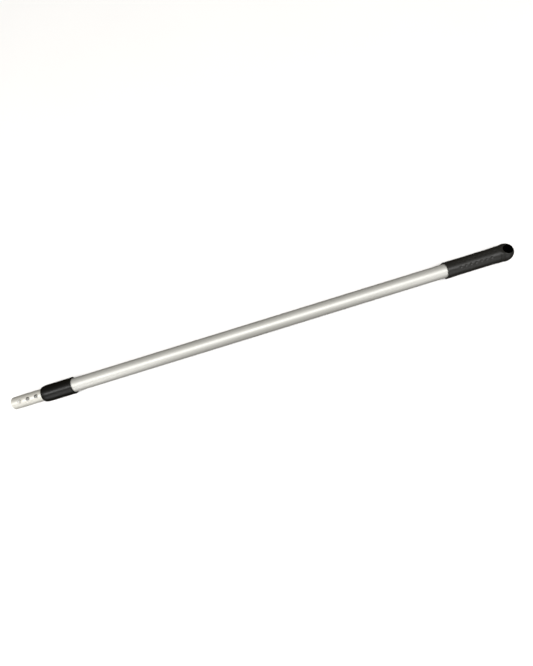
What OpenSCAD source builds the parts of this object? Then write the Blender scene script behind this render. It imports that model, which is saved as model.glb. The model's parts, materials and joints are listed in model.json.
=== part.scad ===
// Telescopic roller extension pole with an internal twist lock.
// X runs along the pole towards the tool end, Z along the button holes, and the
// origin is the centre of the hang hole. The pole is drawn closed and locked.

/* [Tubes] */
// Outside diameter of the outer tube
outer_od = 25; // [25:0.1:26]
// Outside diameter of the sliding inner tube
inner_od = 22; // [21.5:0.1:22]
// Wall thickness of both tubes
tube_wall = 1; // [0.8:0.05:1]
// Length of the outer tube
outer_length = 830.3; // [400:0.1:1500]
// Length of inner tube left outside the collar when the pole is closed
tip_reach = 55.2; // [50:0.1:120]
// Depth of the reamed tool socket in the tip
socket_depth = 62; // [55:1:70]
// How much the socket is reamed out, on the radius
socket_ream = 0.2; // [0.2:0.05:0.3]

/* [Button holes] */
// Diameter of the holes for a tool's spring button
button_d = 7; // [5:0.5:8]
// Distance between neighbouring button holes
button_pitch = 15.1; // [12:0.1:16]
// Number of button holes
button_count = 3; // [1:1:3]
// Distance from the tip to the first button hole
button_inset = 15.1; // [8:0.1:18]

/* [Hanging end] */
// Diameter of the ball at the grip end
ball_d = 32.2; // [31:0.1:34]
// Distance from the hang hole to the middle of the ball
ball_shift = 2; // [0:0.1:3]
// Diameter of the raised shoulder between the ball and the grip
shoulder_d = 30.3; // [29:0.1:31]
// Distance from the hang hole to the end of the shoulder
neck_end = 16.6; // [15:0.1:20]
// Diameter of the hang hole
hang_d = 16.8; // [14:0.1:18]
// Rounding of the hang hole's rims
hang_round = 1.2; // [1:0.1:2]
// Turn of the hang hole about the pole, away from the button holes
hang_tilt = 14; // [-90:1:90]
// Length of the cap's plug inside the outer tube
cap_plug = 32; // [26:1:50]

/* [Grip] */
// Length of the grip sleeve
grip_length = 95.8; // [90:0.1:140]
// Diameter of the grip at its mouth
grip_mouth_d = 30.1; // [29:0.1:32]
// Diameter of the grip at its middle
grip_d = 29.3; // [28.5:0.1:31]
// Diameter of the grip next to the cap's shoulder
grip_rear_d = 29.9; // [29:0.1:31]
// Distance between neighbouring dimples in a row
dimple_pitch = 9.4; // [7:0.1:10]
// Dimples in the long middle row of each panel
dimple_count = 9; // [3:2:9]
// Angle between neighbouring rows of dimples
dimple_turn = 38; // [25:1:40]
// Turn of the grip's dimple panels about the pole
panel_turn = 22; // [0:1:45]
// Depth of a dimple
dimple_depth = 0.7; // [0.3:0.1:1]

/* [Collar] */
// Length of the collar
collar_length = 55.5; // [50:0.1:80]
// Length of outer tube inside the collar
collar_overlap = 43; // [30:1:43]
// Outside diameter of the collar
collar_d = 30; // [29:0.1:32]
// Length of the collar's rounded front shoulder
collar_shoulder = 12; // [6:0.5:14]

/* [Twist lock] */
// Diameter of the lock rod
rod_d = 8; // [8:0.1:8.2]
// Distance that the cone moves in one turn of the rod
rod_pitch = 3; // [2:0.5:3]
// Angle that the inner tube turns from locked to released
release_turn = 270; // [180:10:270]
// Length of the expander sleeve
expander_length = 42; // [42:1:46]
// Width of the expander's slots
slot_w = 2.4; // [2:0.1:3]

/* [Fits] */
// Clearance of a running fit, on the radius
running = 0.05; // [0.03:0.01:0.08]
// Gap between parts that never touch
free_gap = 0.3; // [0.3:0.05:0.4]

/* [Hidden] */

$fn = 96;
eps = 1;

// radii of the two tubes
outer_r = outer_od / 2;
outer_bore_r = outer_r - tube_wall;
inner_r = inner_od / 2;
inner_bore_r = inner_r - tube_wall;
edge = 0.3;

// places along the pole
outer_front = neck_end + outer_length;
collar_rear = outer_front - collar_overlap;
collar_front = collar_rear + collar_length;
tip = collar_front + tip_reach;
grip_mouth = neck_end + grip_length;
cap_plug_front = neck_end + cap_plug;

// collar
collar_lip_l = 3.2;
collar_lip_bore_r = inner_r + free_gap;
collar_nose_r = collar_lip_bore_r + 1.1;
collar_squareness = 2.5;
collar_rear_ring_l = 2.2;
collar_rear_ring_h = 0.15;
bush_front = collar_front - collar_lip_l;

// roll pins
pin_r = 1.5;
pin_bore_r = 0.9;
pin_slot_w = 0.7;
cap_pin_x = neck_end + 19;

// M6 hardware
m6_r = 3;
m6_flats = 10;
m6_nut_l = 6;
m6_collar_r = 4.6;
washer_r = 6;
washer_l = 1.6;

// twist lock, measured back from the plug's flange
thrust_l = 1.6;
thrust_play = 0.1;
hub_l = 8;
chamber_l = 26;
chamber_r = 5.8;
mouth_r = 9.8;
jaw_r = outer_bore_r - 0.08;
cone_gap = 0.16;
cone_start = 30;
cone_run_out = 2;
cone_rim_l = 4;
cone_rim_r = 10.6;
cone_travel = rod_pitch * release_turn / 360;
cone_rear_gap = 0.5;
thread_depth = 0.6;
rod_tail = 3;
closed_gap = 1.3;
taper_slope = (mouth_r - chamber_r) / (expander_length - chamber_l);
cone_mouth = expander_length + cone_run_out;
cone_end = cone_mouth + cone_rim_l;
rod_step = cone_end + cone_travel + cone_rear_gap;
rod_end = rod_step + washer_l + m6_nut_l + rod_tail;

// plug in the inner tube
flange_l = 4;
flange_r = outer_bore_r - running;
plug_wall = 6;
plug_length = 40;
plug_core_r = 7.2;
flange_rear = cap_plug_front + closed_gap + rod_end + thrust_l;
inner_start = flange_rear + flange_l;
hub_face = flange_rear - thrust_l;
plug_pin_spots = [[inner_start + 25, 0], [inner_start + 33, 90]];

// grip dimples
dimple_r = 5;
panel_middle = neck_end + 44.6;

// turns a shape drawn along Z to lie along the pole
module along_x() {
    rotate([0, 90, 0])
        children();
}

// turns a shape about the pole to the hang hole's side
module hang_side() {
    rotate([hang_tilt, 0, 0])
        children();
}

// a turned shape from points of [place along the pole, radius]
module lathe(points) {
    along_x()
        rotate_extrude()
            polygon([for (p = points) [p[1], p[0]]]);
}

// a round bar along the pole
module bar(r, x0, x1) {
    translate([x0, 0, 0])
        along_x()
            cylinder(r = r, h = x1 - x0);
}

// a tube with broken outer edges
module tube(r, bore, x0, x1) {
    lathe([
        [x0, bore], [x0, r - edge], [x0 + edge, r],
        [x1 - edge, r], [x1, r - edge], [x1, bore]
    ]);
}

// a slotted roll pin along Z, centred on the pole's axis
module roll_pin(length) {
    difference() {
        cylinder(r = pin_r, h = length, center = true, $fn = 48);
        cylinder(r = pin_bore_r, h = length + eps, center = true, $fn = 48);
        translate([0, -pin_slot_w / 2, -length])
            cube([pin_r + eps, pin_slot_w, 2 * length]);
    }
}

// a hole right through the pole along Z
module pin_hole() {
    cylinder(r = pin_r, h = 2 * outer_od, center = true, $fn = 48);
}

module outer_tube() {
    color("gainsboro")
        difference() {
            tube(outer_r, outer_bore_r, neck_end, outer_front);
            translate([cap_pin_x, 0, 0])
                hang_side()
                    rotate([90, 0, 0])
                        pin_hole();
        }
}

// one row of dimples, to be cut from the grip at one angle round it
module dimple_row(count, turn) {
    rotate([turn, 0, 0])
        for (i = [0 : count - 1])
            translate([
                panel_middle + (i - (count - 1) / 2) * dimple_pitch, 0,
                grip_d / 2 - dimple_depth + dimple_r
            ])
                sphere(r = dimple_r, $fn = 48);
}

module grip_sleeve() {
    rear_r = grip_rear_d / 2;
    body_r = grip_d / 2;
    mouth_r = grip_mouth_d / 2;
    color("dimgray")
        difference() {
            lathe([
                [neck_end, outer_r],
                [neck_end, rear_r - 0.3],
                [neck_end + 0.3, rear_r],
                [neck_end + 9, body_r + 0.1],
                [neck_end + 18, body_r],
                [grip_mouth - 30, body_r],
                [grip_mouth - 11, mouth_r - 0.2],
                [grip_mouth - 4, mouth_r],
                [grip_mouth - 1, mouth_r],
                [grip_mouth - 0.3, mouth_r - 0.3],
                [grip_mouth, mouth_r - 1],
                [grip_mouth, outer_r]
            ]);
            for (side = [panel_turn, panel_turn + 180]) {
                dimple_row(dimple_count, side);
                for (turn = [-dimple_turn, dimple_turn])
                    dimple_row(dimple_count - 2, side + turn);
            }
        }
}

// the hang hole along Z, with rounded rims that open a little towards the neck
module hang_cutter() {
    rim_r = hang_d / 2 + hang_round;
    rim_z = sqrt(pow(ball_d / 2, 2) - pow(rim_r, 2)) + 0.25;
    fillet_z = rim_z - hang_round;
    spread = ball_d / 2;
    cylinder(d = hang_d, h = 2 * ball_d, center = true);
    for (end = [0, 180])
        rotate([end, 0, 0])
            rotate_extrude()
                difference() {
                    polygon([
                        [0, fillet_z], [rim_r, fillet_z], [rim_r, rim_z],
                        [rim_r + spread, rim_z + spread / 3], [0, rim_z + spread]
                    ]);
                    translate([rim_r, fillet_z])
                        circle(r = hang_round, $fn = 48);
                }
}

// the raised shoulder that the grip sleeve butts against
module cap_shoulder() {
    shoulder_r = shoulder_d / 2;
    lathe([
        [0, 0], [0, shoulder_r - 3],
        [neck_end - 9.1, shoulder_r - 1.5],
        [neck_end - 8.1, shoulder_r - 0.65],
        [neck_end - 6.6, shoulder_r - 0.2],
        [neck_end - 5.1, shoulder_r],
        [neck_end - 2.1, shoulder_r],
        [neck_end, shoulder_r - 0.25],
        [neck_end, 0]
    ]);
}

module hanging_cap() {
    core_r = outer_bore_r - 2.6;
    color("darkslategray")
        difference() {
            union() {
                translate([ball_shift, 0, 0])
                    sphere(r = ball_d / 2);
                cap_shoulder();
                lathe([
                    [0, 0], [0, outer_bore_r],
                    [cap_plug_front - 1.5, outer_bore_r],
                    [cap_plug_front, outer_bore_r - 0.8],
                    [cap_plug_front, 0]
                ]);
            }
            hang_side()
                hang_cutter();
            bar(core_r, neck_end + 7, cap_plug_front + eps);
            translate([cap_pin_x, 0, 0])
                hang_side()
                    rotate([90, 0, 0])
                        pin_hole();
        }
}

module cap_pin() {
    color("silver")
        translate([cap_pin_x, 0, 0])
            hang_side()
                rotate([90, 0, 0])
                    roll_pin(outer_od - 0.8);
}

module collar() {
    collar_r = collar_d / 2;
    shoulder_x = collar_front - collar_shoulder;
    power = 2 / collar_squareness;
    shoulder = [
        for (a = [0 : 10 : 90])
            [
                shoulder_x + collar_shoulder * pow(sin(a), power),
                collar_nose_r + (collar_r - collar_nose_r) * pow(cos(a), power)
            ]
    ];
    ring_r = collar_r + collar_rear_ring_h;
    ring_x = collar_rear + collar_rear_ring_l;
    color("black")
        lathe(concat(
            [
                [collar_rear, outer_r],
                [collar_rear, ring_r - 0.4],
                [collar_rear + 0.4, ring_r],
                [ring_x, ring_r],
                [ring_x + 0.3, collar_r - 0.1]
            ],
            shoulder,
            [
                [collar_front, collar_lip_bore_r],
                [bush_front, collar_lip_bore_r],
                [bush_front, outer_r]
            ]
        ));
}

module guide_bush() {
    color("ivory")
        lathe([
            [outer_front, inner_r + running],
            [outer_front, outer_r],
            [bush_front, outer_r],
            [bush_front, inner_r + running]
        ]);
}

// the taper's radius inside the expander, at a distance back from the hub's face
function taper_r(d) = chamber_r + (d - chamber_l) * taper_slope;

// a turned shape from points of [distance back from the hub's face, radius]
module lock_lathe(points) {
    lathe([for (p = points) [hub_face - p[0], p[1]]]);
}

module expander() {
    ring_seat = [2.6, 4.6];
    seat_r = outer_bore_r - 1.6;
    slot_start = 12;
    groove_pitch = 3;
    groove_w = 1;
    groove_depth = 0.4;
    groove_count = 5;
    color("whitesmoke")
        difference() {
            lock_lathe([
                [0, rod_d / 2 + running],
                [0, jaw_r - 1], [0.6, jaw_r - 0.4],
                [ring_seat[0], jaw_r - 0.4], [ring_seat[0], seat_r],
                [ring_seat[1], seat_r], [ring_seat[1], jaw_r - 0.4],
                [10, jaw_r - 0.4], [12, jaw_r],
                [expander_length - 0.6, jaw_r], [expander_length, jaw_r - 0.6],
                [expander_length, mouth_r],
                [chamber_l, chamber_r], [hub_l, chamber_r],
                [hub_l, rod_d / 2 + running]
            ]);
            for (turn = [0, 90])
                rotate([turn, 0, 0])
                    translate([hub_face - expander_length - eps, -slot_w / 2, -outer_od])
                        cube([expander_length - slot_start + eps, slot_w, 2 * outer_od]);
            for (i = [0 : groove_count - 1])
                translate([hub_face - expander_length + 3 + i * groove_pitch, 0, 0])
                    along_x()
                        difference() {
                            cylinder(r = outer_od, h = groove_w);
                            cylinder(r = jaw_r - groove_depth, h = groove_w);
                        }
        }
}

module friction_ring() {
    cord_r = 0.75;
    color("black")
        translate([hub_face - 3.6, 0, 0])
            along_x()
                rotate_extrude()
                    translate([outer_bore_r - running - cord_r, 0])
                        circle(r = cord_r, $fn = 32);
}

module cone_nut() {
    rib_w = slot_w - 2 * free_gap;
    cone_r = taper_r(cone_start) - cone_gap;
    bore_r = rod_d / 2 + running;
    color("khaki")
        difference() {
            union() {
                lock_lathe([
                    [cone_start, bore_r], [cone_start, cone_r],
                    [cone_mouth, taper_r(cone_mouth) - cone_gap],
                    [cone_mouth, cone_rim_r],
                    [cone_end - 0.6, cone_rim_r], [cone_end, cone_rim_r - 0.6],
                    [cone_end, bore_r]
                ]);
                for (turn = [0, 90])
                    rotate([turn, 0, 0])
                        translate([hub_face - cone_mouth - eps, -rib_w / 2, -cone_rim_r + 0.1])
                            cube([cone_mouth - cone_start + eps, rib_w, 2 * cone_rim_r - 0.2]);
            }
            bar(bore_r, hub_face - cone_end - eps, hub_face);
        }
}

module inner_tube() {
    socket_x = tip - socket_depth;
    socket_r = inner_bore_r + socket_ream;
    color("lightgray")
        difference() {
            lathe([
                [inner_start, inner_bore_r],
                [inner_start, inner_r - edge], [inner_start + edge, inner_r],
                [tip - edge, inner_r], [tip, inner_r - edge],
                [tip, socket_r],
                [socket_x, socket_r], [socket_x - 0.5, inner_bore_r]
            ]);
            for (i = [0 : button_count - 1])
                translate([tip - button_inset - i * button_pitch, 0, 0])
                    cylinder(d = button_d, h = 2 * inner_od, center = true);
            for (spot = plug_pin_spots)
                translate([spot[0], 0, 0])
                    rotate([spot[1], 0, 0])
                        pin_hole();
        }
}

module rod_plug() {
    lead = 1.5;
    color("whitesmoke")
        difference() {
            lathe([
                [flange_rear, m6_r], [flange_rear, flange_r - 0.5],
                [flange_rear + 0.5, flange_r], [inner_start - 0.5, flange_r],
                [inner_start, flange_r - 0.2],
                [inner_start, inner_bore_r],
                [inner_start + plug_length - lead, inner_bore_r],
                [inner_start + plug_length, inner_bore_r - 0.8],
                [inner_start + plug_length, plug_core_r],
                [inner_start + plug_wall, plug_core_r],
                [inner_start + plug_wall, m6_r]
            ]);
            for (spot = plug_pin_spots)
                translate([spot[0], 0, 0])
                    rotate([spot[1], 0, 0])
                        pin_hole();
        }
}

module plug_pins() {
    color("silver")
        for (spot = plug_pin_spots)
            translate([spot[0], 0, 0])
                rotate([spot[1], 0, 0])
                    roll_pin(inner_od - 0.8);
}

module lock_rod() {
    r = rod_d / 2;
    shoulder_r = 5.4;
    shoulder_x = [hub_l + 0.1, hub_l + 2];
    thread_start = 14;
    threads = floor((rod_step - 1 - thread_start) / rod_pitch);
    tail_x = -thrust_l - flange_l - plug_wall - washer_l - m6_nut_l - rod_tail;
    color("gray")
        lock_lathe(concat(
            [
                [tail_x, 0], [tail_x, m6_r - 0.5], [tail_x + 0.5, m6_r],
                [-thrust_l, m6_r], [-thrust_l, r],
                [shoulder_x[0], r], [shoulder_x[0], shoulder_r],
                [shoulder_x[1], shoulder_r], [shoulder_x[1], r - thread_depth]
            ],
            [
                for (i = [0 : threads - 1])
                    let (d = thread_start + i * rod_pitch)
                        each [
                            [d, r - thread_depth], [d + 0.6, r],
                            [d + 1.6, r], [d + 2.2, r - thread_depth]
                        ]
            ],
            [
                [rod_step, r - thread_depth], [rod_step, m6_r],
                [rod_end - 0.5, m6_r], [rod_end, m6_r - 0.5], [rod_end, 0]
            ]
        ));
}

module thrust_washer() {
    thrust_r = 8.5;
    color("silver")
        lock_lathe([
            [-thrust_play, rod_d / 2], [-thrust_play, thrust_r],
            [-thrust_l, thrust_r], [-thrust_l, rod_d / 2]
        ]);
}

// a washer and a locking nut on the rod, with the washer's face at x
module washer(x) {
    difference() {
        bar(washer_r, x, x + washer_l);
        bar(m6_r, x - eps, x + washer_l + eps);
    }
}

module nut(x) {
    hex_l = m6_nut_l - 1.5;
    difference() {
        union() {
            translate([x, 0, 0])
                along_x()
                    cylinder(r = m6_flats / sqrt(3), h = hex_l, $fn = 6);
            bar(m6_collar_r, x, x + m6_nut_l);
        }
        bar(m6_r, x - eps, x + m6_nut_l + eps);
    }
}

module nut_washers() {
    color("silver") {
        washer(inner_start + plug_wall);
        washer(hub_face - rod_step - washer_l);
    }
}

module lock_nuts() {
    color("silver") {
        nut(inner_start + plug_wall + washer_l);
        translate([hub_face - rod_step - washer_l, 0, 0])
            mirror([1, 0, 0])
                nut(0);
    }
}

outer_tube();
grip_sleeve();
hanging_cap();
cap_pin();
collar();
guide_bush();
expander();
friction_ring();
cone_nut();
inner_tube();
rod_plug();
plug_pins();
lock_rod();
thrust_washer();
nut_washers();
lock_nuts();
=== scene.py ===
import json
import math

import bmesh
import bpy
import numpy as np
from mathutils import Matrix, Vector


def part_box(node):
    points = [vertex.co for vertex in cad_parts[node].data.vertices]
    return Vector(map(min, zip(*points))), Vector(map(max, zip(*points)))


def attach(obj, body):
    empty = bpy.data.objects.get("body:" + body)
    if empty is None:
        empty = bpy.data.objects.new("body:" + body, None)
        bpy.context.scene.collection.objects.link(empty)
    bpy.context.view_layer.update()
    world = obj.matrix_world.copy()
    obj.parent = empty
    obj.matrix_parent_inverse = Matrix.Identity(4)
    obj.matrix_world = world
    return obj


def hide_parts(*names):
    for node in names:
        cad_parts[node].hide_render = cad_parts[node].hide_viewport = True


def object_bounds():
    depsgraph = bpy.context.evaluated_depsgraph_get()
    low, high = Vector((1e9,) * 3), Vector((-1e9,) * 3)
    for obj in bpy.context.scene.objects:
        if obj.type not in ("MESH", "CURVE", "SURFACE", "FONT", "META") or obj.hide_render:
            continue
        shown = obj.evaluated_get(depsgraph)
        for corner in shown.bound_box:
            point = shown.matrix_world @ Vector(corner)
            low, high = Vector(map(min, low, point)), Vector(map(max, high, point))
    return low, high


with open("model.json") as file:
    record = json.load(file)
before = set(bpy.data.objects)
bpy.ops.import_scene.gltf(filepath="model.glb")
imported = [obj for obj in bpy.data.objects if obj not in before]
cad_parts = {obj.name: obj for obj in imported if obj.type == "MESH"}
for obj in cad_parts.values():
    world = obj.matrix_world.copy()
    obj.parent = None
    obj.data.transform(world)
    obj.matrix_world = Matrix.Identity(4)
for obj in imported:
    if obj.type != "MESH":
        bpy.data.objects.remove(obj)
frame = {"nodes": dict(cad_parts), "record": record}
CAD_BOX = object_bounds()

MM = 0.001
SEGMENTS = 192
QUARTER = math.pi / 2


# ---------------------------------------------------------------- places, in mm

def low_high(node):
    """The node's box at rest, as two lists of millimetres."""
    low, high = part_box(node)
    return [c / MM for c in low], [c / MM for c in high]


def radius(node):
    """The outside radius of a round node that lies on the pole's axis."""
    low, high = low_high(node)
    return (high[2] - low[2]) / 2


MOUNTS = {mount["name"]: mount for mount in frame["record"]["mounts"]}
SOCKET_R = MOUNTS["tool_socket"]["dims"]["r_mm"]
SOCKET_L = MOUNTS["tool_socket"]["dims"]["length_mm"]
BUTTON_R = MOUNTS["button_holes_front"]["dims"]["hole_r_mm"]
BUTTON_PITCH = MOUNTS["button_holes_front"]["dims"]["spacing_x_mm"]
HANG_R = MOUNTS["hang_hole"]["dims"]["r_mm"]
HANG_AXIS = MOUNTS["hang_hole"]["axis"]
HANG_TURN = math.atan2(-HANG_AXIS[1], HANG_AXIS[2])
BUTTON_X = sorted(
    {
        round(MOUNTS[name]["pos_m"][0] / MM + side * BUTTON_PITCH / 2, 3)
        for name in ("button_holes_front", "button_holes_rear")
        for side in (-1, 1)
    }
)

# sizes that the frame doesn't state: the tubes' wall, the roll pins' radius, the collar's
# play round the inner tube, the ball's middle and the rounding of the hang hole's rims
WALL = 1.0
PIN_R = 1.5
COLLAR_PLAY = 0.3
BALL_X = 2.0
HANG_ROUND = 1.2

OUTER_X = [corner[0] for corner in low_high("outer_tube")]
OUTER_R = radius("outer_tube")
INNER_X = [corner[0] for corner in low_high("inner_tube")]
INNER_R = radius("inner_tube")
COLLAR_X = [corner[0] for corner in low_high("collar")]
BUSH_X = [corner[0] for corner in low_high("guide_bush")]
GRIP_X = [corner[0] for corner in low_high("grip_sleeve")]
CAP_X = [corner[0] for corner in low_high("hanging_cap")]
BALL_R = BALL_X - CAP_X[0]
CAP_PIN_X = sum(corner[0] for corner in low_high("cap_pin")) / 2
PLUG_PINS_X = [low_high("plug_pins")[0][0] + PIN_R, low_high("plug_pins")[1][0] - PIN_R]


# ---------------------------------------------------------------- mesh tools

def polar(x, r, angle):
    """The point at that distance from the pole's axis, turned about X from +Z."""
    return (x, -r * math.sin(angle), r * math.cos(angle))


class Skin:
    """Points in millimetres and faces, gathered patch by patch and then joined."""

    def __init__(self):
        self.points = []
        self.faces = []

    def grid(self, rows):
        """Adds a patch of quads through rows of points of one length."""
        base = len(self.points)
        width = len(rows[0])
        for row in rows:
            self.points.extend(row)
        for i in range(len(rows) - 1):
            for j in range(width - 1):
                corner = base + i * width + j
                self.faces.append((corner, corner + 1, corner + width + 1, corner + width))

    def piece(self, name):
        """The joined patches as one smooth closed mesh object, in metres."""
        mesh = bpy.data.meshes.new(name)
        scaled = [(x * MM, y * MM, z * MM) for x, y, z in self.points]
        mesh.from_pydata(scaled, [], self.faces)
        bm = bmesh.new()
        bm.from_mesh(mesh)
        bmesh.ops.remove_doubles(bm, verts=bm.verts, dist=2e-6)
        bmesh.ops.recalc_face_normals(bm, faces=bm.faces)
        bm.to_mesh(mesh)
        bm.free()
        mesh.polygons.foreach_set("use_smooth", [True] * len(mesh.polygons))
        piece = bpy.data.objects.new(name, mesh)
        bpy.context.scene.collection.objects.link(piece)
        return piece


def rounded(corners, steps=6):
    """A closed profile through corners of (x, r, fillet), each corner turned on an arc."""
    profile = []
    for i, (x, r, fillet) in enumerate(corners):
        corner = Vector((x, r))
        back = Vector(corners[i - 1][:2]) - corner
        ahead = Vector(corners[(i + 1) % len(corners)][:2]) - corner
        if fillet == 0:
            profile.append((x, r))
            continue
        half = back.angle(ahead) / 2
        cut = min(fillet / math.tan(half), 0.45 * back.length, 0.45 * ahead.length)
        bisector = (back.normalized() + ahead.normalized()).normalized()
        centre = corner + bisector * (cut / math.cos(half))
        start = corner + back.normalized() * cut - centre
        end = corner + ahead.normalized() * cut - centre
        first = math.atan2(start.y, start.x)
        turn = math.atan2(end.y, end.x) - first
        turn = (turn + math.pi) % (2 * math.pi) - math.pi
        for k in range(steps + 1):
            angle = first + turn * k / steps
            profile.append(
                (
                    centre.x + start.length * math.cos(angle),
                    centre.y + start.length * math.sin(angle),
                )
            )
    return profile


def supported(profile, gap=0.25):
    """The closed profile with a ring added near each end of its longer straights."""
    result = []
    for i, (x0, r0) in enumerate(profile):
        x1, r1 = profile[(i + 1) % len(profile)]
        length = math.hypot(x1 - x0, r1 - r0)
        result.append((x0, r0))
        if length > 3 * gap:
            for share in (gap / length, 1 - gap / length):
                result.append((x0 + (x1 - x0) * share, r0 + (r1 - r0) * share))
    return result


def lathe(name, profile, bump=None):
    """A closed profile turned about the pole's axis; bump(x, angle) adds to a radius."""
    skin = Skin()
    rows = []
    for x, r in profile + profile[:1]:
        row = []
        for k in range(SEGMENTS + 1):
            angle = 2 * math.pi * (k % SEGMENTS) / SEGMENTS
            extra = bump(x, r, angle) if bump else 0
            row.append(polar(x, r + extra, angle))
        rows.append(row)
    skin.grid(rows)
    return skin.piece(name)


# ---------------------------------------------------------------- drilled tubes

ACROSS = 32
RING_SHARES = (0.0, 0.03, 0.07, 0.12, 0.19, 0.28, 0.4, 0.55, 0.75, 1.0)


class Hole:
    """A round hole through one wall of a tube, at x and turned about the pole."""

    def __init__(self, x, turn, r, rim, half):
        self.x = x
        self.turn = turn
        self.r = r
        self.rim = rim
        self.half = half

    def angles(self):
        """The directions round the hole, one for each point of the square patch."""
        count = 4 * ACROSS
        return [2 * math.pi * k / count - math.pi / 4 for k in range(count + 1)]

    def rim_point(self, rho, depth, wall_r, phi):
        """A point at rho from the hole's axis, depth under the wall's face."""
        side = rho * math.sin(phi)
        height = math.sqrt(wall_r**2 - side**2) - depth
        turned_y = side * math.cos(self.turn) - height * math.sin(self.turn)
        turned_z = side * math.sin(self.turn) + height * math.cos(self.turn)
        return (self.x + rho * math.cos(phi), turned_y, turned_z)

    def square_spot(self, k):
        """The place of point k on the edge of a square from -1 to 1."""
        side, step = divmod(k % (4 * ACROSS), ACROSS)
        along = 2 * step / ACROSS - 1
        return [(1, along), (-along, 1), (-1, -along), (along, -1)][side]

    def face_ring(self, share, wall_r):
        """A ring on the wall's face, from the rim at share 0 to the square at 1."""
        ring = []
        rho = self.r + self.rim
        for k, phi in enumerate(self.angles()):
            u, v = self.square_spot(k)
            start_x = rho * math.cos(phi)
            start_a = -math.asin(rho * math.sin(phi) / wall_r)
            x = start_x + (self.half * u - start_x) * share
            angle = start_a + (-QUARTER / 2 * v - start_a) * share
            ring.append(polar(self.x + x, wall_r, self.turn + angle))
        return ring

    def rim_rings(self, wall_r, way):
        """The rounded edge of the hole; way is 1 on the outer face, -1 on the inner."""
        steps = 5
        rings = []
        for k in range(1, steps + 1):
            angle = QUARTER * k / steps
            rho = self.r + self.rim * (1 - math.sin(angle))
            depth = way * self.rim * (1 - math.cos(angle))
            rings.append([self.rim_point(rho, depth, wall_r, p) for p in self.angles()])
        return rings

    def rows(self, outer_r, bore_r):
        """All the rings of the patch, from the outer square to the bore's square."""
        outer = [self.face_ring(share, outer_r) for share in reversed(RING_SHARES)]
        inner = [self.face_ring(share, bore_r) for share in RING_SHARES]
        walls = self.rim_rings(outer_r, 1) + self.rim_rings(bore_r, -1)[::-1]
        return outer + walls + inner


def drilled_tube(name, profile, holes, turn=0.0):
    """A tube from a closed profile of (x, r), with holes at quarter turns from turn.

    The profile has a point at each side of each hole's patch, on both faces."""
    skin = Skin()
    for (x0, r0), (x1, r1) in zip(profile, profile[1:] + profile[:1]):
        here = [h for h in holes if min(x0, x1) < h.x < max(x0, x1)]
        along = ACROSS if here else 1
        for quarter in range(4):
            middle = turn + quarter * QUARTER
            if any(abs(h.turn - middle) < 0.01 for h in here):
                continue
            rows = []
            for i in range(along + 1):
                x = x0 + (x1 - x0) * i / along
                r = r0 + (r1 - r0) * i / along
                rows.append(
                    [
                        polar(x, r, middle + QUARTER * (j / ACROSS - 0.5))
                        for j in range(ACROSS + 1)
                    ]
                )
            skin.grid(rows)
    for hole in holes:
        faces = [r for (x, r) in profile if abs(x - (hole.x - hole.half)) < 0.01]
        skin.grid(hole.rows(max(faces), min(faces)))
    return skin.piece(name)


def tube_profile(x_range, outer_r, bores, edges):
    """A tube's closed profile with rounded outer ends.

    bores is a list of (x0, x1, r) from rear to front, edges the places of hole patches."""
    fillet = 0.3
    x0, x1 = x_range
    outer = [(x0, outer_r, fillet), (x1, outer_r, fillet)]
    inner = []
    for start, end, r in reversed(bores):
        inner += [(end, r, 0), (start, r, 0)]
    inner[0] = (x1, bores[-1][2], 0.15)
    inner[-1] = (x0, bores[0][2], 0.15)
    profile = supported(rounded(outer + inner))
    for edge in edges:
        profile = with_station(profile, edge)
    return profile


def with_station(profile, x):
    """The closed profile with a point added at x wherever a straight passes it."""
    result = []
    for i, (x0, r0) in enumerate(profile):
        x1, r1 = profile[(i + 1) % len(profile)]
        result.append((x0, r0))
        if min(x0, x1) + 0.001 < x < max(x0, x1) - 0.001:
            result.append((x, r0 + (r1 - r0) * (x - x0) / (x1 - x0)))
    return result


def make_outer_tube():
    half = 4.0
    turn = HANG_TURN + QUARTER
    holes = [Hole(CAP_PIN_X, turn + side * math.pi, PIN_R, 0.1, half) for side in (0, 1)]
    edges = [CAP_PIN_X - half, CAP_PIN_X + half]
    bores = [(OUTER_X[0], OUTER_X[1], OUTER_R - WALL)]
    profile = tube_profile(OUTER_X, OUTER_R, bores, edges)
    return drilled_tube("outer_tube_body", profile, holes, turn)


def make_inner_tube():
    socket_x = INNER_X[1] - SOCKET_L
    bore_r = INNER_R - WALL
    bores = [(INNER_X[0], socket_x - 0.5, bore_r), (socket_x, INNER_X[1], SOCKET_R)]
    pin_half = (PLUG_PINS_X[1] - PLUG_PINS_X[0]) / 2
    button_half = BUTTON_PITCH / 2
    holes = []
    for side in (0, 2):
        holes += [Hole(x, side * QUARTER, BUTTON_R, 0.3, button_half) for x in BUTTON_X]
        holes.append(Hole(PLUG_PINS_X[0], side * QUARTER, PIN_R, 0.1, pin_half))
        holes.append(Hole(PLUG_PINS_X[1], (side + 1) * QUARTER, PIN_R, 0.1, pin_half))
    edges = {round(h.x + side * h.half, 3) for h in holes for side in (-1, 1)}
    profile = tube_profile(INNER_X, INNER_R, bores, sorted(edges))
    return drilled_tube("inner_tube_body", profile, holes)


# ---------------------------------------------------------------- collar and grip

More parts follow.
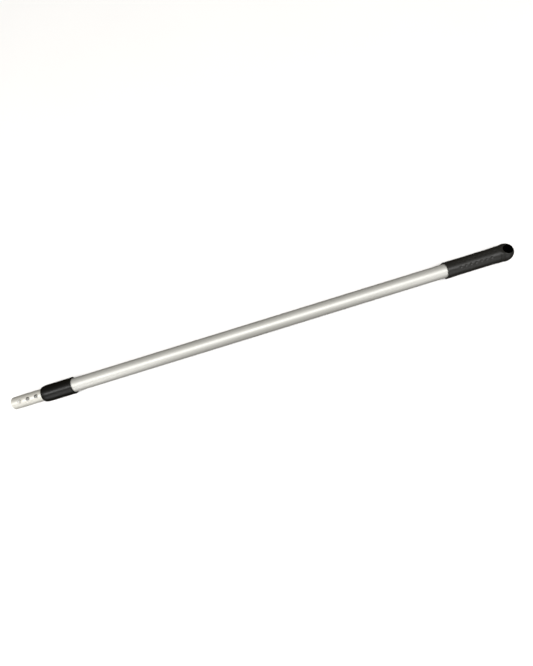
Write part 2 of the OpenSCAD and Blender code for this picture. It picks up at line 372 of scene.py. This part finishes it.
def make_collar():
    """The smooth collar: a faint ring at the rear, and a rounded shoulder in front."""
    collar_r = radius("collar")
    body_r = collar_r - 0.15
    rear, front = COLLAR_X
    ring_l = 2.2
    bore_r = INNER_R + COLLAR_PLAY
    nose_r = bore_r + 1.1
    shoulder = 12.0
    squareness = 2.5
    power = 2 / squareness
    steps = 24
    outline = [(rear, OUTER_R, 0.2), (rear, collar_r, 0.6), (rear + ring_l, collar_r, 0.1)]
    outline.append((rear + ring_l + 0.3, body_r - 0.1, 0.15))
    bulge = []
    for k in range(steps + 1):
        angle = QUARTER * k / steps
        bulge.append(
            (
                front - shoulder + shoulder * math.sin(angle) ** power,
                nose_r + (body_r - nose_r) * abs(math.cos(angle)) ** power,
            )
        )
    outline += [(x, r, 0) for x, r in bulge]
    lip = [(front, bore_r, 0.25), (BUSH_X[1], bore_r, 0), (BUSH_X[1], OUTER_R, 0)]
    return lathe("collar_body", supported(rounded(outline + lip)))


def smooth_floor(value, softness):
    """value where it is below zero, easing to zero over the softness."""
    if value >= softness:
        return 0.0
    if value <= -softness:
        return value
    return -((softness - value) ** 2) / (4 * softness)


class Dimples:
    """Two panels of moulded dimples, each a long row between two shorter ones."""

    PITCH = 9.4
    COUNT = 9
    TURN = math.radians(38)
    PANEL_TURN = math.radians(22)
    DEPTH = 0.7
    BALL_R = 5.0
    SOFTNESS = 0.07

    def __init__(self, middle, surface_r):
        self.spots = []
        for panel in (0, math.pi):
            for row in (-1, 0, 1):
                count = self.COUNT if row == 0 else self.COUNT - 2
                for i in range(count):
                    x = middle + (i - (count - 1) / 2) * self.PITCH
                    self.spots.append((x, self.PANEL_TURN + panel + row * self.TURN))
        self.surface_r = surface_r
        self.reach = math.sqrt(self.BALL_R**2 - (self.BALL_R - self.DEPTH) ** 2)

    def depth(self, x, angle):
        """How far the surface is pushed in at x and angle, as a number below zero."""
        limit = self.reach + 3 * self.SOFTNESS
        for spot_x, spot_angle in self.spots:
            dx = x - spot_x
            if abs(dx) > limit:
                continue
            turn = (angle - spot_angle + math.pi) % (2 * math.pi) - math.pi
            away = math.hypot(dx, turn * self.surface_r)
            if away > limit:
                continue
            height = self.BALL_R - self.DEPTH
            bottom = height - math.sqrt(max(self.BALL_R**2 - away**2, 0))
            return smooth_floor(bottom, self.SOFTNESS)
        return 0.0


def make_grip():
    """The grip sleeve: a little thicker at both ends, dimpled, with a flat mouth."""
    rear, mouth = GRIP_X
    mouth_r = radius("grip_sleeve")
    body_r = mouth_r - 0.4
    rear_r = mouth_r - 0.1
    panel_middle = rear + 44.6
    dimples = Dimples(panel_middle, body_r)
    outline = [
        (rear, OUTER_R, 0),
        (rear, rear_r, 0.5),
        (rear + 9, body_r + 0.1, 6),
        (rear + 18, body_r, 8),
        (mouth - 30, body_r, 8),
        (mouth - 11, mouth_r - 0.2, 6),
        (mouth - 4, mouth_r, 3),
        (mouth, mouth_r, 0.4),
        (mouth, OUTER_R + 0.3, 0.2),
        (mouth - 1.5, OUTER_R, 0),
    ]
    profile = refined(rounded(outline), 0.4)

    def bump(x, r, angle):
        return dimples.depth(x, angle) if r > OUTER_R + 1 else 0

    return lathe("grip_sleeve_body", profile, bump)


def refined(profile, step):
    """The closed profile with its straights cut into lengths of at most step."""
    result = []
    for i, (x0, r0) in enumerate(profile):
        x1, r1 = profile[(i + 1) % len(profile)]
        count = max(1, math.ceil(math.hypot(x1 - x0, r1 - r0) / step))
        for k in range(count):
            result.append((x0 + (x1 - x0) * k / count, r0 + (r1 - r0) * k / count))
    return result


# ---------------------------------------------------------------- hanging cap

def round_union(a, b, r):
    """Two distance fields joined, with a fillet of radius r between them."""
    return np.maximum(r, np.minimum(a, b)) - np.hypot(
        np.maximum(r - a, 0), np.maximum(r - b, 0)
    )


def round_cut(a, b, r):
    """Field a with b cut out of it, and the edge rounded to radius r."""
    return np.minimum(-r, np.maximum(a, -b)) + np.hypot(
        np.maximum(r + a, 0), np.maximum(r - b, 0)
    )


def bar_field(x, across, x0, x1, r):
    """The distance to a round bar along the pole from x0 to x1."""
    ends = np.maximum(x0 - x, x - x1)
    side = across - r
    outside = np.hypot(np.maximum(ends, 0), np.maximum(side, 0))
    return outside + np.minimum(np.maximum(ends, side), 0)


def cap_field(x, y, z):
    """The signed distance to the hanging cap's surface, in millimetres."""
    neck_end = OUTER_X[0]
    shoulder_r = 15.15
    shoulder_edge = 4.0
    shoulder_start = neck_end - 10
    plug_r = OUTER_R - WALL
    core_r = plug_r - 2.6
    core_x = (neck_end + 7, CAP_X[1] + 5)
    across = np.hypot(y, z)
    ball = np.sqrt((x - BALL_X) ** 2 + across**2) - BALL_R
    inner_x = (shoulder_start + shoulder_edge, neck_end + 10)
    shoulder = bar_field(x, across, *inner_x, shoulder_r - shoulder_edge) - shoulder_edge
    shoulder = -round_union(-shoulder, neck_end - x, 0.3)
    cap = round_union(ball, shoulder, 0.8)
    hole_z = y * HANG_AXIS[1] + z * HANG_AXIS[2]
    hole_y = y * HANG_AXIS[2] - z * HANG_AXIS[1]
    from_hole = np.hypot(x, hole_y)
    rim_r = HANG_R + HANG_ROUND
    rim_z = math.sqrt(BALL_R**2 - rim_r**2) + 0.25
    slope = 1 / 3
    opening = rim_z - np.abs(hole_z) + (from_hole - rim_r) * slope
    opening = opening * math.cos(math.atan(slope))
    cap = -round_union(-cap, opening, 0.5)
    cap = round_cut(cap, from_hole - HANG_R, HANG_ROUND - 0.1)
    plug = bar_field(x, across, HANG_R + 2, CAP_X[1], plug_r)
    cap = np.minimum(cap, plug)
    core = bar_field(x, across, *core_x, core_r)
    cap = np.maximum(cap, -core)
    pin = np.hypot(x - CAP_PIN_X, hole_z) - PIN_R
    return np.maximum(cap, -pin)


def surface_net(field, lows, highs, step):
    """A quad mesh of the field's zero surface: points on it, and faces."""
    axes = [np.arange(lo, hi + step, step) for lo, hi in zip(lows, highs)]
    values = field(*np.meshgrid(*axes, indexing="ij"))
    inside = values < 0
    cells = tuple(n - 1 for n in values.shape)
    total = np.zeros(cells + (3,))
    crossings = np.zeros(cells)
    faces = []
    grid_points = np.stack(np.meshgrid(*axes, indexing="ij"), axis=-1)
    for axis in range(3):
        near = [slice(None)] * 3
        far = [slice(None)] * 3
        near[axis] = slice(0, -1)
        far[axis] = slice(1, None)
        near, far = tuple(near), tuple(far)
        a, b = values[near], values[far]
        crossed = inside[near] != inside[far]
        share = np.where(crossed, a / np.where(crossed, a - b, 1), 0)
        point = grid_points[near] + (grid_points[far] - grid_points[near]) * share[..., None]
        others = [k for k in range(3) if k != axis]
        for da in (0, 1):
            for db in (0, 1):
                pick = [slice(None)] * 3
                pick[others[0]] = slice(da, values.shape[others[0]] - 1 + da)
                pick[others[1]] = slice(db, values.shape[others[1]] - 1 + db)
                pick = tuple(pick)
                total += np.where(crossed[pick][..., None], point[pick], 0)
                crossings += crossed[pick]
    used = crossings > 0
    index = -np.ones(cells, int)
    index[used] = np.arange(used.sum())
    points = total[used] / crossings[used][:, None]
    for axis in range(3):
        near = [slice(1, -1)] * 3
        far = [slice(1, -1)] * 3
        near[axis] = slice(0, -1)
        far[axis] = slice(1, None)
        starts = inside[tuple(near)]
        crossed = np.argwhere(starts != inside[tuple(far)])
        offset = np.ones(3, int)
        offset[axis] = 0
        others = [k for k in range(3) if k != axis]
        corners = []
        for da, db in ((0, 0), (1, 0), (1, 1), (0, 1)):
            spot = crossed + offset
            spot[:, others[0]] -= da
            spot[:, others[1]] -= db
            corners.append(index[tuple(spot.T)])
        faces.append(np.stack(corners, axis=1))
    return points, np.concatenate(faces)


def settle(field, points, rounds=4):
    """Moves each point onto the field's zero surface, along the field's slope."""
    small = 0.02
    for _ in range(rounds):
        value = field(*points.T)
        slope = np.stack(
            [
                (field(*(points + small * e).T) - field(*(points - small * e).T)) / (2 * small)
                for e in np.eye(3)
            ],
            axis=1,
        )
        length = np.maximum((slope**2).sum(axis=1), 0.25)
        points = points - slope * (value / length)[:, None]
    return points


def make_cap():
    margin = 1.3
    lows = [CAP_X[0] - margin, -BALL_R - margin, -BALL_R - margin]
    highs = [CAP_X[1] + margin, BALL_R + margin, BALL_R + margin]
    points, faces = surface_net(cap_field, lows, highs, 0.5)
    skin = Skin()
    skin.points = [tuple(p) for p in settle(cap_field, points)]
    skin.faces = [tuple(int(i) for i in face) for face in faces]
    return skin.piece("hanging_cap_body")


# ---------------------------------------------------------------- materials

class Finish:
    """A procedural material: a Principled shader with noise, ramps and bump added."""

    def __init__(self, name, **constants):
        self.material = bpy.data.materials.new(name)
        self.material.use_nodes = True
        self.tree = self.material.node_tree
        self.shader = self.tree.nodes["Principled BSDF"]
        for socket, value in constants.items():
            self.shader.inputs[socket.replace("_", " ")].default_value = value
        self.place = self.tree.nodes.new("ShaderNodeTexCoord").outputs["Object"]
        self.bumped = None

    def link(self, source, target):
        self.tree.links.new(source, target)

    def noise(self, size_mm, detail=4.0, roughness=0.55):
        """Noise whose grains are about size_mm (along, across, across)."""
        mapping = self.tree.nodes.new("ShaderNodeMapping")
        for k, size in enumerate(size_mm):
            mapping.inputs["Scale"].default_value[k] = 1 / (size * MM)
        self.link(self.place, mapping.inputs["Vector"])
        noise = self.tree.nodes.new("ShaderNodeTexNoise")
        noise.inputs["Scale"].default_value = 1
        noise.inputs["Detail"].default_value = detail
        noise.inputs["Roughness"].default_value = roughness
        self.link(mapping.outputs["Vector"], noise.inputs["Vector"])
        return noise.outputs["Fac"]

    def cells(self, size_mm):
        """Voronoi distance, with cells of about size_mm."""
        mapping = self.tree.nodes.new("ShaderNodeMapping")
        for k, size in enumerate(size_mm):
            mapping.inputs["Scale"].default_value[k] = 1 / (size * MM)
        self.link(self.place, mapping.inputs["Vector"])
        cells = self.tree.nodes.new("ShaderNodeTexVoronoi")
        cells.feature = "F1"
        cells.inputs["Scale"].default_value = 1
        self.link(mapping.outputs["Vector"], cells.inputs["Vector"])
        return cells.outputs["Distance"]

    def ramp(self, source, stops):
        """A colour ramp with stops of (place, grey or colour)."""
        ramp = self.tree.nodes.new("ShaderNodeValToRGB")
        elements = ramp.color_ramp.elements
        while len(elements) < len(stops):
            elements.new(0.5)
        for element, (place, value) in zip(elements, stops):
            element.position = place
            rgb = value if isinstance(value, tuple) else (value, value, value)
            element.color = (*rgb, 1)
        self.link(source, ramp.inputs["Fac"])
        return ramp.outputs["Color"]

    def spread(self, source, low, high, start=0.3, end=0.7):
        """The source mapped from start-end to low-high."""
        node = self.tree.nodes.new("ShaderNodeMapRange")
        limits = {"From Min": start, "From Max": end, "To Min": low, "To Max": high}
        for socket, value in limits.items():
            node.inputs[socket].default_value = value
        self.link(source, node.inputs["Value"])
        return node.outputs["Result"]

    def maths(self, operation, a, b):
        node = self.tree.nodes.new("ShaderNodeMath")
        node.operation = operation
        for socket, value in zip(node.inputs, (a, b)):
            if isinstance(value, (int, float)):
                socket.default_value = value
            else:
                self.link(value, socket)
        return node.outputs[0]

    def mix(self, factor, a, b, blend="MIX"):
        """Colour b over colour a by the factor."""
        node = self.tree.nodes.new("ShaderNodeMix")
        node.data_type = "RGBA"
        node.blend_type = blend
        factor_socket, a_socket, b_socket = (node.inputs[i] for i in (0, 6, 7))
        for socket, value in ((factor_socket, factor), (a_socket, a), (b_socket, b)):
            if isinstance(value, float):
                socket.default_value = value
            elif isinstance(value, tuple):
                socket.default_value = (*value, 1)
            else:
                self.link(value, socket)
        return node.outputs[2]

    def bump(self, height, distance_mm, strength=1.0):
        """Adds a layer of bump whose full height is distance_mm."""
        node = self.tree.nodes.new("ShaderNodeBump")
        node.inputs["Strength"].default_value = strength
        node.inputs["Distance"].default_value = distance_mm * MM
        self.link(height, node.inputs["Height"])
        if self.bumped is not None:
            self.link(self.bumped, node.inputs["Normal"])
        self.bumped = node.outputs["Normal"]

    def done(self, colour, rough):
        self.link(colour, self.shader.inputs["Base Color"])
        self.link(rough, self.shader.inputs["Roughness"])
        if self.bumped is not None:
            self.link(self.bumped, self.shader.inputs["Normal"])
        return self.material

    def in_hang_hole(self):
        """1 inside the hang hole, 0 from its rounded rim outwards: the mask for the shade
        painted into the hole.
        """
        mapping = self.tree.nodes.new("ShaderNodeMapping")
        mapping.vector_type = "TEXTURE"
        mapping.inputs["Rotation"].default_value = (HANG_TURN, 0, 0)
        mapping.inputs["Scale"].default_value = (MM, MM, 1000)
        self.link(self.place, mapping.inputs["Vector"])
        length = self.tree.nodes.new("ShaderNodeVectorMath")
        length.operation = "LENGTH"
        self.link(mapping.outputs["Vector"], length.inputs[0])
        return self.spread(length.outputs["Value"], 1.0, 0.0, HANG_R + 0.3, HANG_R + 1.0)


def aluminium(name, shade, metallic, rough, worn):
    """Satin anodised tube: drawing lines along it, faint clouding and fine scratches."""
    finish = Finish(name, Metallic=metallic)
    lines = finish.noise((120, 0.35, 0.35), detail=3)
    cloud = finish.noise((60, 14, 14), detail=4)
    scratches = finish.noise((18, 0.12, 0.12), detail=2, roughness=0.4)
    scratch = finish.ramp(scratches, [(0.66, 0.0), (0.72, 1.0)])
    r, g, b = shade
    base = finish.ramp(cloud, [(0.3, (r * 0.97, g * 0.97, b * 0.965)), (0.7, shade)])
    lined = finish.mix(0.12, base, finish.ramp(lines, [(0.3, 0.72), (0.7, 1.0)]), "MULTIPLY")
    marked = finish.mix(finish.maths("MULTIPLY", scratch, worn), lined, (0.9, 0.9, 0.88))
    base_rough = finish.spread(cloud, rough - 0.03, rough + 0.04)
    line_rough = finish.spread(lines, -0.03, 0.03)
    total = finish.maths("ADD", base_rough, line_rough)
    finish.bump(lines, 0.006)
    finish.bump(scratches, 0.003)
    return finish.done(marked, total)


def moulded(name, shade, rough, grain_mm, grain_height, light=1.25, shade_hang_hole=False, **constants):
    """Moulded plastic or rubber: fine grain, soft clouding and a little dust.

    For the hanging cap, shade is painted inside the hang hole: the wall there is coloured near
    black and made less glossy, standing in for the shade in the hole."""
    finish = Finish(name, Metallic=0.0, **constants)
    cloud = finish.noise((22, 22, 22), detail=5)
    grain = finish.noise((grain_mm,) * 3, detail=3)
    specks = finish.noise((1.1, 1.1, 1.1), detail=6, roughness=0.7)
    dust = finish.ramp(specks, [(0.62, 0.0), (0.78, 1.0)])
    lit = tuple(min(1.0, c * light) for c in shade)
    base = finish.ramp(cloud, [(0.3, shade), (0.72, lit)])
    dust_and_hole_shade = finish.mix(finish.maths("MULTIPLY", dust, 0.10), base, (0.30, 0.29, 0.27))
    cloud_rough = finish.spread(cloud, rough - 0.04, rough + 0.05)
    grain_rough = finish.spread(grain, -0.05, 0.05)
    total = finish.maths("ADD", cloud_rough, grain_rough)
    finish.bump(grain, grain_height)
    if shade_hang_hole:
        # painted shade: near black colour and lowered gloss on the hang hole's wall, in place
        # of the shade that falls inside the hole
        bore = finish.in_hang_hole()
        dust_and_hole_shade = finish.mix(bore, dust_and_hole_shade, (0.0012, 0.0012, 0.001))
        gloss = constants["Specular_IOR_Level"]
        hole_shaded_gloss = finish.spread(bore, gloss, 0.02, 0.0, 1.0)
        finish.link(hole_shaded_gloss, finish.shader.inputs["Specular IOR Level"])
    return finish.done(dust_and_hole_shade, total)


def plated_steel():
    """Bright zinc plate: fine spangle, soft clouding and a fine grain."""
    finish = Finish("zinc_steel", Metallic=1.0)
    spangle = finish.cells((1.6, 1.6, 1.6))
    grain = finish.noise((0.3, 0.3, 0.3), detail=3)
    cloud = finish.noise((5, 5, 5))
    colour = finish.ramp(cloud, [(0.3, (0.52, 0.53, 0.55)), (0.7, (0.68, 0.69, 0.70))])
    mixed = finish.mix(0.15, colour, finish.ramp(spangle, [(0.2, 0.7), (0.8, 1.0)]), "MULTIPLY")
    finish.bump(grain, 0.01)
    return finish.done(mixed, finish.spread(spangle, 0.22, 0.36, 0.1, 0.8))


GRIP_BLACK = (0.014, 0.0137, 0.0125)
COLLAR_BLACK = (0.003, 0.003, 0.0025)


def make_materials():
    """The finish of every slot of the record."""
    return {
        "outer_aluminium": aluminium("outer_aluminium", (0.66, 0.66, 0.63), 0.4, 0.50, 0.10),
        "inner_aluminium": aluminium("inner_aluminium", (0.73, 0.72, 0.67), 0.4, 0.50, 0.22),
        "grip_rubber": moulded(
            "grip_rubber", GRIP_BLACK, 0.38, 0.35, 0.03, Specular_IOR_Level=0.35
        ),
        # the cap's hang hole gets painted shade
        "cap_plastic": moulded(
            "cap_plastic", GRIP_BLACK, 0.42, 0.5, 0.02, shade_hang_hole=True, Specular_IOR_Level=0.3
        ),
        "collar_plastic": moulded(
            "collar_plastic", COLLAR_BLACK, 0.34, 0.6, 0.008, Specular_IOR_Level=0.3
        ),
        "bush_nylon": moulded("bush_nylon", (0.020, 0.020, 0.020), 0.45, 0.5, 0.01),
        "white_nylon": moulded("white_nylon", (0.74, 0.72, 0.66), 0.42, 0.5, 0.02, 1.1),
        "cone_acetal": moulded("cone_acetal", (0.52, 0.10, 0.05), 0.38, 0.5, 0.02, 1.1),
        "ring_rubber": moulded("ring_rubber", (0.015, 0.015, 0.015), 0.55, 0.4, 0.02),
        "zinc_steel": plated_steel(),
    }


def build_pole(materials):
    """Makes the five visible pieces and gives each CAD node that stays its finish."""
    pieces = [
        (make_outer_tube(), "pole", "outer_tube", "outer_aluminium"),
        (make_inner_tube(), "stage", "inner_tube", "inner_aluminium"),
        (make_collar(), "pole", "collar", "collar_plastic"),
        (make_grip(), "pole", "grip_sleeve", "grip_rubber"),
        (make_cap(), "pole", "hanging_cap", "cap_plastic"),
    ]
    for piece, body, node, slot in pieces:
        piece.data.materials.append(materials[slot])
        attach(piece, body)
        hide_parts(node)
    kept = {
        "cap_pin": "zinc_steel",
        "guide_bush": "bush_nylon",
        "expander": "white_nylon",
        "friction_ring": "ring_rubber",
        "cone_nut": "cone_acetal",
        "rod_plug": "white_nylon",
        "plug_pins": "zinc_steel",
        "lock_rod": "zinc_steel",
        "thrust_washer": "zinc_steel",
        "nut_washers": "zinc_steel",
        "lock_nuts": "zinc_steel",
    }
    for node, slot in kept.items():
        mesh = frame["nodes"][node].data
        mesh.materials.clear()
        mesh.materials.append(materials[slot])


# ---------------------------------------------------------------- stage, light, camera

def make_floor():
    """A pale paper floor under the pole. It keeps its light off the pole."""
    half = 8.0
    gap = 0.0003
    height = CAD_BOX[0][2] - gap
    mesh = bpy.data.meshes.new("floor")
    corners = [(x * half, y * half, height) for x, y in ((-1, -1), (1, -1), (1, 1), (-1, 1))]
    mesh.from_pydata(corners, [], [(0, 1, 2, 3)])
    floor = bpy.data.objects.new("floor", mesh)
    bpy.context.scene.collection.objects.link(floor)
    finish = Finish("floor_paper", Metallic=0.0, Specular_IOR_Level=0.1, Emission_Strength=0.08)
    finish.shader.inputs["Emission Color"].default_value = (1, 1, 1, 1)
    cloud = finish.noise((300, 300, 300))
    colour = finish.ramp(cloud, [(0.3, 0.90), (0.7, 0.92)])
    mesh.materials.append(finish.done(colour, finish.spread(cloud, 0.85, 0.95)))
    floor.visible_glossy = False
    floor.visible_diffuse = False


def make_world():
    """A studio round, dim overhead and dark and warm low down, on a pale backdrop."""
    world = bpy.data.worlds.new("studio")
    bpy.context.scene.world = world
    world.use_nodes = True
    tree = world.node_tree
    place = tree.nodes.new("ShaderNodeTexCoord")
    split = tree.nodes.new("ShaderNodeSeparateXYZ")
    ramp = tree.nodes.new("ShaderNodeValToRGB")
    stretch = tree.nodes.new("ShaderNodeMapRange")
    stretch.inputs["From Min"].default_value = -1
    tree.links.new(place.outputs["Generated"], split.inputs["Vector"])
    tree.links.new(split.outputs["Z"], stretch.inputs["Value"])
    tree.links.new(stretch.outputs["Result"], ramp.inputs["Fac"])
    elements = ramp.color_ramp.elements
    stops = [
        (0.0, (0.020, 0.016, 0.009)),
        (0.5, (0.050, 0.036, 0.018)),
        (0.75, (0.12, 0.11, 0.09)),
        (1.0, (0.35, 0.33, 0.29)),
    ]
    while len(elements) < len(stops):
        elements.new(0.5)
    for element, (spot, colour) in zip(elements, stops):
        element.position = spot
        element.color = (*colour, 1)
    light = tree.nodes["Background"]
    tree.links.new(ramp.outputs["Color"], light.inputs["Color"])
    backdrop = tree.nodes.new("ShaderNodeBackground")
    backdrop.inputs["Color"].default_value = (0.95, 0.95, 0.95, 1)
    rays = tree.nodes.new("ShaderNodeLightPath")
    choice = tree.nodes.new("ShaderNodeMixShader")
    tree.links.new(rays.outputs["Is Camera Ray"], choice.inputs["Fac"])
    tree.links.new(light.outputs["Background"], choice.inputs[1])
    tree.links.new(backdrop.outputs["Background"], choice.inputs[2])
    tree.links.new(choice.outputs["Shader"], tree.nodes["World Output"].inputs["Surface"])


def aim(location, target, up):
    """A placement at location whose -Z looks at the target, with +Y near up."""
    back = (Vector(location) - Vector(target)).normalized()
    side = Vector(up).cross(back).normalized()
    rows = Matrix((side, back.cross(side), back)).transposed().to_4x4()
    rows.translation = Vector(location)
    return rows


def add_softbox(name, location, target, size_x, size_y, radiance):
    """A soft area light, whose face is as bright as the radiance says."""
    light = bpy.data.lights.new(name, "AREA")
    light.shape = "RECTANGLE"
    light.size = size_x
    light.size_y = size_y
    light.energy = radiance * math.pi * size_x * size_y
    box = bpy.data.objects.new(name, light)
    box.matrix_world = aim(location, target, (0, 1, 0))
    box.visible_camera = False
    bpy.context.scene.collection.objects.link(box)


# the view is 6 degrees off straight down, and the pole rises 17 degrees in it; the camera
# looks at the middle of the pole, a little to the side, from this far in metres
VIEW_TILT = math.radians(6)
VIEW_ROLL = math.radians(17.15)
VIEW_DISTANCE = 0.6965
VIEW_MIDDLE_X = 0.4488
VIEW_DROP = 0.0123
LENS_MM = 21.08


def view_axes():
    """The direction to the camera, and the direction across the pole in the picture."""
    to_camera = Vector((0, math.sin(VIEW_TILT), math.cos(VIEW_TILT)))
    across = Vector((0, -math.cos(VIEW_TILT), math.sin(VIEW_TILT)))
    return to_camera, across


def add_camera():
    to_camera, across = view_axes()
    back_along = Vector((-1, 0, 0))
    right = math.cos(VIEW_ROLL) * back_along - math.sin(VIEW_ROLL) * across
    up = math.sin(VIEW_ROLL) * back_along + math.cos(VIEW_ROLL) * across
    placement = Matrix((right, up, to_camera)).transposed().to_4x4()
    middle = Vector((VIEW_MIDDLE_X, 0, 0)) - VIEW_DROP * across
    placement.translation = middle + VIEW_DISTANCE * to_camera
    data = bpy.data.cameras.new("camera")
    data.lens = LENS_MM
    data.clip_start = 0.01
    camera = bpy.data.objects.new("camera", data)
    camera.matrix_world = placement
    bpy.context.scene.collection.objects.link(camera)
    bpy.context.scene.camera = camera


def add_lights():
    """A long key strip straight above the pole, and two weak fills low at its ends."""
    to_camera, across = view_axes()
    middle = Vector((VIEW_MIDDLE_X, 0, 0))
    lean = math.radians(0.5)
    key_way = math.cos(lean) * to_camera + math.sin(lean) * across
    key_away = 3.0
    add_softbox("key", middle + key_away * key_way, middle, 6.0, 0.76, 8.8)
    lean = math.radians(56)
    fill_way = math.cos(lean) * to_camera - math.sin(lean) * across
    fill_away = 0.4
    fill_past = 0.05
    ends = (
        ("grip", CAD_BOX[0][0] - fill_past, 1.4),
        ("tip", CAD_BOX[1][0] + fill_past, 2.0),
    )
    for end, x, radiance in ends:
        aimed = Vector((x, 0, 0))
        place = aimed + fill_away * fill_way
        add_softbox("fill_" + end, place, aimed, 0.38, 0.32, radiance)


make_floor()
make_world()
add_camera()
add_lights()
build_pole(make_materials())
scene = bpy.context.scene
scene.view_settings.view_transform = "Standard"
